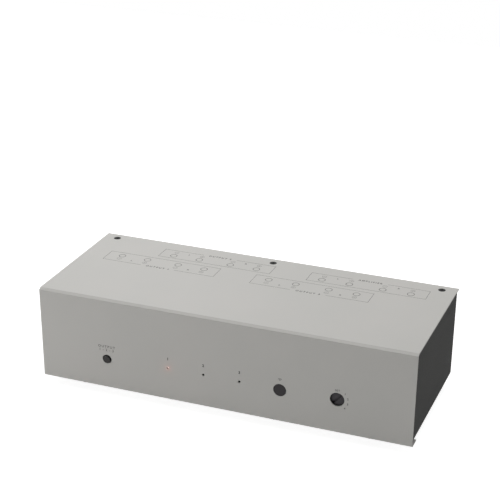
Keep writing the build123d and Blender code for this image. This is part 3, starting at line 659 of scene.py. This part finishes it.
# %% [markdown]
# A drawing is made flat, on a sheet of its own at the origin, as a printer makes a screen, and is then
# laid on its face of the case. A line is a thin block, and a ring is its small upright section spun
# round, which can also stop part of the way.

# %% Lines and rings
line_width = 0.32 * mm
ring_steps = 40


def line(shape, start, end, width=line_width):
    """A printed line along X or Y, with square ends."""
    length_x = abs(end[0] - start[0]) + width
    length_y = abs(end[1] - start[1]) + width
    middle = ((start[0] + end[0]) / 2, (start[1] + end[1]) / 2, (ink_rise - ink_sink) / 2)
    cuboid(shape, middle, (length_x, length_y, ink_rise + ink_sink))


def ring(shape, centre, radius, width, start=0.0, sweep=360.0, steps=ring_steps):
    """A printed ring, or part of one, spun from its small upright section."""
    inner, outer = radius - width / 2, radius + width / 2
    section = [(inner, -ink_sink), (outer, -ink_sink), (outer, ink_rise), (inner, ink_rise)]
    turn = Matrix.Rotation(math.radians(start), 3, "Z")
    middle = Vector((centre[0], centre[1], 0))
    points = [shape.verts.new(middle + turn @ Vector((r, 0, z))) for r, z in section]
    face = shape.faces.new(points)
    whole = sweep >= 360.0
    geometry = points + list(face.edges) + ([] if whole else [face])
    if whole:
        bmesh.ops.delete(shape, geom=[face], context="FACES_ONLY")
    bmesh.ops.spin(shape, geom=geometry, cent=middle, axis=(0, 0, 1), angle=math.radians(sweep),
                   steps=steps, use_merge=whole)


def lay(shape, origin, across, up, out):
    """Moves a drawing from its own sheet onto a face of the case."""
    sheet = Matrix((across, up, out)).transposed().to_4x4()
    bmesh.ops.transform(shape, matrix=Matrix.Translation(origin) @ sheet, verts=shape.verts)


print("printed lines are", round(line_width / mm, 2), "mm wide")

# %% [markdown]
# Letters start as a font curve, because a font already knows their shapes. A curve can't be squeezed to
# a width and moved with the rest of a drawing, so it is turned into a mesh at once. Small print spreads
# a little on paint, so the strokes are thickened.

# %% Letters
letter_weight = 0.012
letter_spacing = 1.15
letter_resolution = 3


def letters(shape, text, centre, height, spacing=letter_spacing, width=None, weight=letter_weight):
    """Printed letters of a given capital height, centred on a place, squeezed or spread to a width.

    weight thickens their strokes, as a share of the letter's size."""
    curve = bpy.data.curves.new("letters", "FONT")
    curve.body = text
    curve.align_x, curve.align_y = "CENTER", "CENTER"
    curve.space_character = spacing
    curve.offset = weight
    curve.extrude = (ink_rise + ink_sink) / 2
    curve.resolution_u = letter_resolution
    carrier = bpy.data.objects.new("letters", curve)
    bpy.context.scene.collection.objects.link(carrier)
    flat = final_mesh(carrier)
    bpy.data.objects.remove(carrier)
    xs = [vertex.co.x for vertex in flat.vertices]
    ys = [vertex.co.y for vertex in flat.vertices]
    tall = height / (max(ys) - min(ys))
    wide = width / (max(xs) - min(xs)) if width else tall
    to_middle = Matrix.Translation((-(max(xs) + min(xs)) / 2, -(max(ys) + min(ys)) / 2, 0))
    resize = Matrix.Diagonal((wide, tall, 1, 1))
    to_place = Matrix.Translation((centre[0], centre[1], (ink_rise - ink_sink) / 2))
    flat.transform(to_place @ resize @ to_middle)
    shape.from_mesh(flat)
    bpy.data.meshes.remove(flat)


print("letters are thickened by", letter_weight, "of their size")

# %% [markdown]
# The front legends sit close above their controls: two lines over the button, a numeral over each lamp,
# waves over the sensor window and a short word over the code dial, with its four numbered places at its
# right. Their places are taken from the controls themselves, so print and hole can't drift apart.

# %% Places of the front legends
def middle_of(node):
    """Middle of a node, across and up."""
    low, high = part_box(node)
    return ((low.x + high.x) / 2, (low.z + high.z) / 2 - cover_low.z)


button_x, button_up = middle_of("push_button")
window_x, window_up = middle_of("remote_window")
dial_x, dial_up = middle_of("code_dial")
lamp_up = lamp_z - cover_low.z

# The words over the button, their rise above its middle, their width and their spacing.
button_label = (("OUTPUT", 11.8 * mm, 15.8 * mm, 1.35), ("1 - 2 - 3", 8.7 * mm, 13.0 * mm, 1.2))
button_label_height = 2.3 * mm
lamp_number_rise = 8.6 * mm
lamp_number_height = 2.6 * mm
lamp_number_weight = 0.05
wave_rise = 8.2 * mm
wave_radii = (0.9 * mm, 1.7 * mm, 2.5 * mm)
wave_line = 0.35 * mm
wave_start_angle = 50
wave_sweep_angle = 80
wave_steps = 12
dial_label_rise = 8.2 * mm
dial_label_height = 1.84 * mm
dial_label_width = 4.2 * mm
dial_number_radius = 9.2 * mm
dial_number_drop = 0.3 * mm
dial_number_height = 1.9 * mm
dial_number_weight = 0.03
dial_number_angles = (45, 15, -15, -45)
print("the button's words are", round(button_label_height / mm, 1), "mm high")

# %% [markdown]
# With the places settled, the drawing is a few calls. The dial's numbers stand on an arc, at the four
# angles that its slot can point to.

# %% Legends on the front
front_drawing = bmesh.new()
for words, rise, width, spacing in button_label:
    letters(front_drawing, words, (button_x, button_up + rise), button_label_height, spacing, width)
for number, x in enumerate(lamp_xs, start=1):
    letters(front_drawing, str(number), (x, lamp_up + lamp_number_rise), lamp_number_height,
            weight=lamp_number_weight)
for radius in wave_radii:
    ring(front_drawing, (window_x, window_up + wave_rise), radius, wave_line,
         wave_start_angle, wave_sweep_angle, wave_steps)
letters(front_drawing, "SET", (dial_x, dial_up + dial_label_rise), dial_label_height,
        width=dial_label_width)
for number, angle in enumerate(dial_number_angles, start=1):
    turn = math.radians(angle)
    number_x = dial_x + dial_number_radius * math.cos(turn)
    number_up = dial_up - dial_number_drop + dial_number_radius * math.sin(turn)
    letters(front_drawing, str(number), (number_x, number_up), dial_number_height,
            weight=dial_number_weight)
lay(front_drawing, (0, front_y, cover_low.z), (1, 0, 0), (0, 0, 1), (0, -1, 0))
make_piece("front_legends", front_drawing, dark_ink, case_body, smooth=False)

# %% [markdown]
# The top carries a plan of the terminals behind: four frames, each with a ring for each terminal, a sign
# for its pole and a letter for each pair's channel. The frames are broken for their names. The rings
# stand straight over the real terminals, so their places are read from the caps. The two upper frames
# stand a touch to the right of theirs.

# %% Plan of the terminals on the top
def cap_xs(first):
    """Places across of a group's four neighbouring caps, from its first one."""
    return [(low.x + high.x) / 2 for low, high in cap_boxes[first - 1:first + 3]]


def cap_up(first):
    """Height of a group's row of caps."""
    low, high = cap_boxes[first - 1]
    return (low.z + high.z) / 2 - cover_low.z


first_caps = {"OUTPUT 2": 1, "AMPLIFIER": 5, "OUTPUT 1": 9, "OUTPUT 3": 13}
upper_groups = ("OUTPUT 2", "AMPLIFIER")
frame_half = 52.7 * mm
name_gap = 16.0 * mm
name_height = 2.6 * mm
name_width = 21.5 * mm
name_spacing = 1.5
top_name_weight = 0.03
ring_radius = 2.95 * mm
ring_line = 0.5 * mm
pole_radius = 1.9 * mm
pole_line = 0.22 * mm
sign_size = 1.7 * mm
channel_height = 2.3 * mm
upper_plan = {"name": -14.9 * mm, "plain": -31.5 * mm, "rings": -26.3 * mm, "signs": -19.3 * mm}
lower_plan = {"name": -55.5 * mm, "plain": -37.0 * mm, "rings": -43.5 * mm, "signs": -50.2 * mm}
upper_plan_shift = 0.7 * mm


def poles_and_channels(shape, xs, up):
    """A ringed minus or plus at each terminal of a group, and its channel's letter between each pair."""
    half = sign_size / 2
    for number, x in enumerate(xs):
        ring(shape, (x, up), pole_radius, pole_line)
        line(shape, (x - half, up), (x + half, up), pole_line)
        if number % 2:
            line(shape, (x, up - half), (x, up + half), pole_line)
    for letter, left, right in zip("LR", xs[0::2], xs[1::2]):
        letters(shape, letter, ((left + right) / 2, up), channel_height)


def broken_frame(shape, name, middle, plan):
    """A frame round a group, whose line on one side is broken for the group's name."""
    left, right = middle - frame_half, middle + frame_half
    line(shape, (left, plan["plain"]), (right, plan["plain"]))
    line(shape, (left, plan["name"]), (middle - name_gap, plan["name"]))
    line(shape, (middle + name_gap, plan["name"]), (right, plan["name"]))
    for x in (left, right):
        line(shape, (x, plan["plain"]), (x, plan["name"]))
    letters(shape, name, (middle, plan["name"]), name_height, name_spacing, name_width, top_name_weight)


top_drawing = bmesh.new()
for name, first in first_caps.items():
    xs = cap_xs(first)
    plan = upper_plan if name in upper_groups else lower_plan
    shift = upper_plan_shift if name in upper_groups else 0
    broken_frame(top_drawing, name, sum(xs) / len(xs) + shift, plan)
    for x in xs:
        ring(top_drawing, (x, plan["rings"]), ring_radius, ring_line)
    poles_and_channels(top_drawing, xs, plan["signs"])
lay(top_drawing, (0, cover_high.y, top_z), (1, 0, 0), (0, 1, 0), (0, 0, 1))
make_piece("top_legends", top_drawing, dark_ink, case_body, smooth=False)

# %% [markdown]
# The rear repeats the same names in pale ink. It is read from behind, where left and right swap, so each
# place across changes its sign and the sheet is laid facing the other way. Each name stands over its
# row of caps, above the signs and the letters of the channels.

# %% Legends on the rear panel
rear_name_rise = 15.0 * mm
rear_sign_rise = 11.3 * mm
inlet_name_rise = 15.5 * mm

rear_drawing = bmesh.new()
for name, first in first_caps.items():
    xs = [-x for x in cap_xs(first)]
    name_place = (sum(xs) / len(xs), cap_up(first) + rear_name_rise)
    letters(rear_drawing, name, name_place, name_height, name_spacing, name_width)
    poles_and_channels(rear_drawing, xs, cap_up(first) + rear_sign_rise)
inlet_x, inlet_up = middle_of("mains_inlet")
letters(rear_drawing, "AC IN", (-inlet_x, inlet_up + inlet_name_rise), name_height)
lay(rear_drawing, (0, panel_y, cover_low.z), (-1, 0, 0), (0, 0, 1), (0, 1, 0))
make_piece("rear_legends", rear_drawing, pale_ink, case_body, smooth=False)

# %% [markdown]
# The set is a pale floor and a white surround. Both have to read white without lighting the object any
# more, and more light on them would bleach it too. So each is two things at once: what the eye sees,
# straight, in a reflection or through glass, and what the light on its way to the object meets.

# %% What the eye sees and what the light meets
def grey(value):
    """An even grey in linear light."""
    return (value, value, value, 1)


def seen_straight(tree):
    """1 for rays that a person sees: straight, in a reflection or through glass. 0 for light on its way."""
    path = tree.nodes.new("ShaderNodeLightPath")
    total = path.outputs["Is Camera Ray"]
    for name in ("Is Glossy Ray", "Is Transmission Ray"):
        add = tree.nodes.new("ShaderNodeMath")
        add.operation = "MAXIMUM"
        tree.links.new(total, add.inputs[0])
        tree.links.new(path.outputs[name], add.inputs[1])
        total = add.outputs[0]
    return total


def seen_or_real(tree, real, seen_one, surface):
    """Shows one shader to the eye and another to the light, and links them to a surface socket."""
    choice = tree.nodes.new("ShaderNodeMixShader")
    tree.links.new(seen_straight(tree), choice.inputs["Fac"])
    tree.links.new(real.outputs[0], choice.inputs[1])
    tree.links.new(seen_one.outputs[0], choice.inputs[2])
    tree.links.new(choice.outputs[0], surface)


print("white in linear light is", grey(1)[:3])

# %% [markdown]
# The floor is to look white and still carry the object's shadow. So the eye sees a lit colour and an
# even light added together, and only the first of these darkens in the shadow. The object is lit by the
# floor's real colour alone.

# %% Floor
floor_size = 2.4
real_floor_grey = 0.92
seen_floor_grey = 0.5
seen_floor_glow = 0.9

floor_finish, floor_tree, unused_shader = new_finish("floor")
floor_tree.nodes.remove(unused_shader)
real_floor = floor_tree.nodes.new("ShaderNodeBsdfDiffuse")
real_floor.inputs["Color"].default_value = grey(real_floor_grey)
lit_floor = floor_tree.nodes.new("ShaderNodeBsdfDiffuse")
lit_floor.inputs["Color"].default_value = grey(seen_floor_grey)
even_light = floor_tree.nodes.new("ShaderNodeEmission")
even_light.inputs["Strength"].default_value = seen_floor_glow
seen_floor = floor_tree.nodes.new("ShaderNodeAddShader")
floor_tree.links.new(lit_floor.outputs[0], seen_floor.inputs[0])
floor_tree.links.new(even_light.outputs[0], seen_floor.inputs[1])
seen_or_real(floor_tree, real_floor, seen_floor, floor_tree.nodes["Material Output"].inputs["Surface"])

floor_shape = bmesh.new()
bmesh.ops.create_grid(floor_shape, x_segments=1, y_segments=1, size=floor_size / 2)
floor_mesh = bpy.data.meshes.new("floor")
floor_shape.to_mesh(floor_mesh)
floor_shape.free()
floor_mesh.materials.append(floor_finish)
floor = bpy.data.objects.new("floor", floor_mesh)
bpy.context.scene.collection.objects.link(floor)
print("floor", floor_size, "m square")

# %% [markdown]
# The surround is white to the eye and nearly dark to the object, so that the shapes are drawn by the
# lamps and not washed out from all sides. A backdrop wall would need light of its own to read white.

# %% Surround
surround_light = 0.02

surround = bpy.data.worlds.new("surround")
surround.use_nodes = True
bpy.context.scene.world = surround
sky_tree = surround.node_tree
real_sky = sky_tree.nodes["Background"]
real_sky.inputs["Color"].default_value = grey(1)
real_sky.inputs["Strength"].default_value = surround_light
seen_sky = sky_tree.nodes.new("ShaderNodeBackground")
seen_sky.inputs["Color"].default_value = grey(1)
seen_sky.inputs["Strength"].default_value = 1.0
seen_or_real(sky_tree, real_sky, seen_sky, sky_tree.nodes["World Output"].inputs["Surface"])
print("surround lights the object with", surround_light, "of its white")

# %% [markdown]
# Soft lamps. The top is the brightest face, the front darkens steadily from left to right, and the bend
# between them is no brighter than the top. So the top's light comes from overhead and behind, the
# front's from low on the left, and a lamp at the right keeps the side from going black. A last, tiny
# lamp stands for the glow that the lit lamp throws on the paint round its hole.

# %% Lights
lamp_aim = Vector((0, 0, 50 * mm))

# Each lamp's place and side in metres, and its power in watts.
soft_lamps = {
    "overhead_lamp": ((0.0, 0.3, 1.6), 1.4, 10.6),
    "rear_lamp": ((0.0, 0.9, 1.4), 1.2, 5.3),
    "rear_left_lamp": ((-0.8, 1.0, 1.1), 0.8, 4.3),
    "high_left_lamp": ((-0.9, -0.2, 1.1), 0.6, 2.8),
    "low_left_lamp": ((-1.3, -1.2, 0.25), 0.5, 11.0),
    "right_lamp": ((1.4, -0.3, 0.6), 0.8, 3.7),
}
glow_colour = (1.0, 0.2, 0.1)
glow_power = 0.00012
glow_distance = 2.6 * mm


def hang(light, stand, turn):
    """Puts a light into the scene, at a place and with a turn."""
    carrier = bpy.data.objects.new(light.name, light)
    bpy.context.scene.collection.objects.link(carrier)
    carrier.matrix_world = Matrix.Translation(stand) @ turn


for name, (stand, size, power) in soft_lamps.items():
    light = bpy.data.lights.new(name, "AREA")
    light.shape = "SQUARE"
    light.size = size
    light.energy = power
    hang(light, stand, (lamp_aim - Vector(stand)).to_track_quat("-Z", "Y").to_matrix().to_4x4())

glow = bpy.data.lights.new("lamp_glow_on_paint", "POINT")
glow.shadow_soft_size = 0
glow.color = glow_colour
glow.energy = glow_power
hang(glow, (lamp_xs[0], front_y - glow_distance, lamp_z), Matrix.Identity(4))

bpy.context.scene.view_settings.view_transform = "Standard"
print("lamps", len(soft_lamps), "with", sum(lamp[-1] for lamp in soft_lamps.values()), "watts in all")
